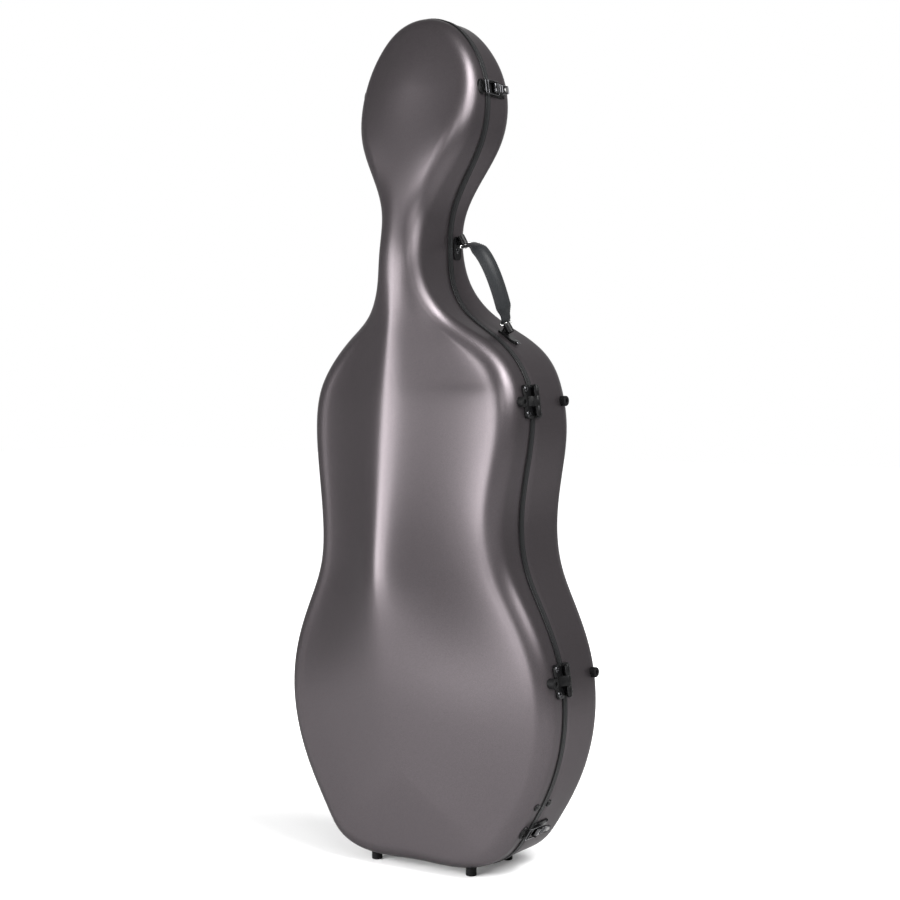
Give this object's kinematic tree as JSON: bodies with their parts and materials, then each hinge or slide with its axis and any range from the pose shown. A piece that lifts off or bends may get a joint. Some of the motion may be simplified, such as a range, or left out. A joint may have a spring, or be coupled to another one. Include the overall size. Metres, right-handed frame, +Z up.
{
  "type": "cello hard case",
  "caption": "Hinged two-part hard shell that holds a cello, with draw latches along the seam, rubber feet, a side handle and a padded lining.",
  "frame": {"origin": "on the floor, under the middle of the closed case", "axes": "+X towards the hinge side, +Y towards the back of the case, +Z up towards the head"},
  "size_m": [0.5086, 0.3016, 1.3258],
  "materials": {
    "lacquered_shell": "satin metallic lacquer over a moulded composite shell",
    "padded_lining": "dark velour over foam",
    "seam_profile": "black moulded profile",
    "rubber_feet": "black rubber",
    "plated_metal": "black nickel plated steel",
    "webbing": "woven black webbing",
    "padded_leather": "stitched black padded strap",
    "black_metal": "black plated steel"
  },
  "bodies": {
    "base": {"base_shell": "lacquered_shell", "base_lining": "padded_lining", "base_edge_trim": "seam_profile", "lower_hinge_base_leaf": "black_metal", "lower_hinge_pin": "black_metal", "upper_hinge_base_leaf": "black_metal", "upper_hinge_pin": "black_metal", "hinge_side_head_latch_plate": "black_metal", "hinge_side_corner_latch_plate": "black_metal", "head_latch_plate": "black_metal", "upper_bout_latch_plate": "black_metal", "lower_bout_latch_plate": "black_metal", "corner_latch_plate": "black_metal", "base_bottom_foot_right": "rubber_feet", "base_bottom_foot_left": "rubber_feet", "base_side_foot_lower": "rubber_feet", "base_side_foot_upper": "rubber_feet", "back_foot_lower_right": "rubber_feet", "back_foot_lower_left": "rubber_feet", "back_foot_upper_right": "rubber_feet", "back_foot_upper_left": "rubber_feet", "upper_handle_bracket": "black_metal", "lower_handle_bracket": "black_metal", "lid_stay_base_anchor": "black_metal", "lid_stay_strap": "webbing", "end_cushion": "padded_lining", "upper_back_pad": "padded_lining", "neck_cradle": "padded_lining", "neck_band": "webbing"},
    "lid": {"lid_shell": "lacquered_shell", "lid_lining": "padded_lining", "lid_edge_trim": "seam_profile", "lower_hinge_lid_leaf": "black_metal", "upper_hinge_lid_leaf": "black_metal", "hinge_side_head_latch_keeper": "black_metal", "hinge_side_corner_latch_keeper": "black_metal", "head_latch_keeper": "black_metal", "upper_bout_latch_keeper": "black_metal", "lower_bout_latch_keeper": "black_metal", "corner_latch_keeper": "black_metal", "lid_bottom_foot_right": "rubber_feet", "lid_bottom_foot_left": "rubber_feet", "lid_side_foot_lower": "rubber_feet", "lid_side_foot_upper": "rubber_feet", "lid_stay_lid_anchor": "black_metal", "bow_frog_rest": "padded_lining", "bow_tip_rest": "padded_lining"},
    "handle": {"handle_grip": "padded_leather"},
    "hinge_side_head_latch_lever": {"hinge_side_head_latch_lever": "plated_metal"},
    "hinge_side_head_latch_bail": {"hinge_side_head_latch_bail": "plated_metal"},
    "hinge_side_corner_latch_lever": {"hinge_side_corner_latch_lever": "plated_metal"},
    "hinge_side_corner_latch_bail": {"hinge_side_corner_latch_bail": "plated_metal"},
    "head_latch_lever": {"head_latch_lever": "plated_metal"},
    "head_latch_bail": {"head_latch_bail": "plated_metal"},
    "upper_bout_latch_lever": {"upper_bout_latch_lever": "plated_metal"},
    "upper_bout_latch_bail": {"upper_bout_latch_bail": "plated_metal"},
    "lower_bout_latch_lever": {"lower_bout_latch_lever": "plated_metal"},
    "lower_bout_latch_bail": {"lower_bout_latch_bail": "plated_metal"},
    "corner_latch_lever": {"corner_latch_lever": "plated_metal"},
    "corner_latch_bail": {"corner_latch_bail": "plated_metal"}
  },
  "joints": [
    {"name": "lid_hinge", "type": "hinge", "parent": "base", "child": "lid", "pos_m": [0.24597, -0.00617, 0.316], "axis": [-0.1291, 0, 0.9916], "range_deg": [0, 105]},
    {"name": "handle_swing", "type": "hinge", "parent": "base", "child": "handle", "pos_m": [0.08127, 0.02383, 0.91462], "axis": [-0.4557, -0.1337, 0.88], "range_deg": [-26, 94]},
    {"name": "hinge_side_head_latch_lever_turn", "type": "hinge", "parent": "base", "child": "hinge_side_head_latch_lever", "pos_m": [0.1076, 0.00883, 1.21186], "axis": [0.1387, 0, -0.9903], "range_deg": [0, 120]},
    {"name": "hinge_side_head_latch_bail_turn", "type": "hinge", "parent": "hinge_side_head_latch_lever", "child": "hinge_side_head_latch_bail", "pos_m": [0.1076, 0.01883, 1.21186], "axis": [0.1387, 0, -0.9903], "range_deg": [-210, 0]},
    {"name": "hinge_side_corner_latch_lever_turn", "type": "hinge", "parent": "base", "child": "hinge_side_corner_latch_lever", "pos_m": [0.18345, 0.00883, 0.07533], "axis": [-0.5319, 0, -0.8468], "range_deg": [0, 120]},
    {"name": "hinge_side_corner_latch_bail_turn", "type": "hinge", "parent": "hinge_side_corner_latch_lever", "child": "hinge_side_corner_latch_bail", "pos_m": [0.18345, 0.01883, 0.07533], "axis": [-0.5319, 0, -0.8468], "range_deg": [-210, 0]},
    {"name": "head_latch_lever_turn", "type": "hinge", "parent": "base", "child": "head_latch_lever", "pos_m": [-0.11386, 0.00883, 1.21186], "axis": [0.1387, 0, 0.9903], "range_deg": [0, 120]},
    {"name": "head_latch_bail_turn", "type": "hinge", "parent": "head_latch_lever", "child": "head_latch_bail", "pos_m": [-0.11386, 0.01883, 1.21186], "axis": [0.1387, 0, 0.9903], "range_deg": [-210, 0]},
    {"name": "upper_bout_latch_lever_turn", "type": "hinge", "parent": "base", "child": "upper_bout_latch_lever", "pos_m": [-0.19381, 0.00883, 0.73451], "axis": [0.141, 0, 0.99], "range_deg": [0, 120]},
    {"name": "upper_bout_latch_bail_turn", "type": "hinge", "parent": "upper_bout_latch_lever", "child": "upper_bout_latch_bail", "pos_m": [-0.19381, 0.01883, 0.73451], "axis": [0.141, 0, 0.99], "range_deg": [-210, 0]},
    {"name": "lower_bout_latch_lever_turn", "type": "hinge", "parent": "base", "child": "lower_bout_latch_lever", "pos_m": [-0.24833, 0.00883, 0.31576], "axis": [0.1685, 0, 0.9857], "range_deg": [0, 120]},
    {"name": "lower_bout_latch_bail_turn", "type": "hinge", "parent": "lower_bout_latch_lever", "child": "lower_bout_latch_bail", "pos_m": [-0.24833, 0.01883, 0.31576], "axis": [0.1685, 0, 0.9857], "range_deg": [-210, 0]},
    {"name": "corner_latch_lever_turn", "type": "hinge", "parent": "base", "child": "corner_latch_lever", "pos_m": [-0.18971, 0.00883, 0.07533], "axis": [-0.5319, 0, 0.8468], "range_deg": [0, 120]},
    {"name": "corner_latch_bail_turn", "type": "hinge", "parent": "corner_latch_lever", "child": "corner_latch_bail", "pos_m": [-0.18971, 0.01883, 0.07533], "axis": [-0.5319, 0, 0.8468], "range_deg": [-210, 0]}
  ],
  "couplings": [
    {"joint": "hinge_side_head_latch_bail_turn", "follows": "hinge_side_head_latch_lever_turn", "ratio": -1.75},
    {"joint": "hinge_side_corner_latch_bail_turn", "follows": "hinge_side_corner_latch_lever_turn", "ratio": -1.75},
    {"joint": "head_latch_bail_turn", "follows": "head_latch_lever_turn", "ratio": -1.75},
    {"joint": "upper_bout_latch_bail_turn", "follows": "upper_bout_latch_lever_turn", "ratio": -1.75},
    {"joint": "lower_bout_latch_bail_turn", "follows": "lower_bout_latch_lever_turn", "ratio": -1.75},
    {"joint": "corner_latch_bail_turn", "follows": "corner_latch_lever_turn", "ratio": -1.75}
  ]
}
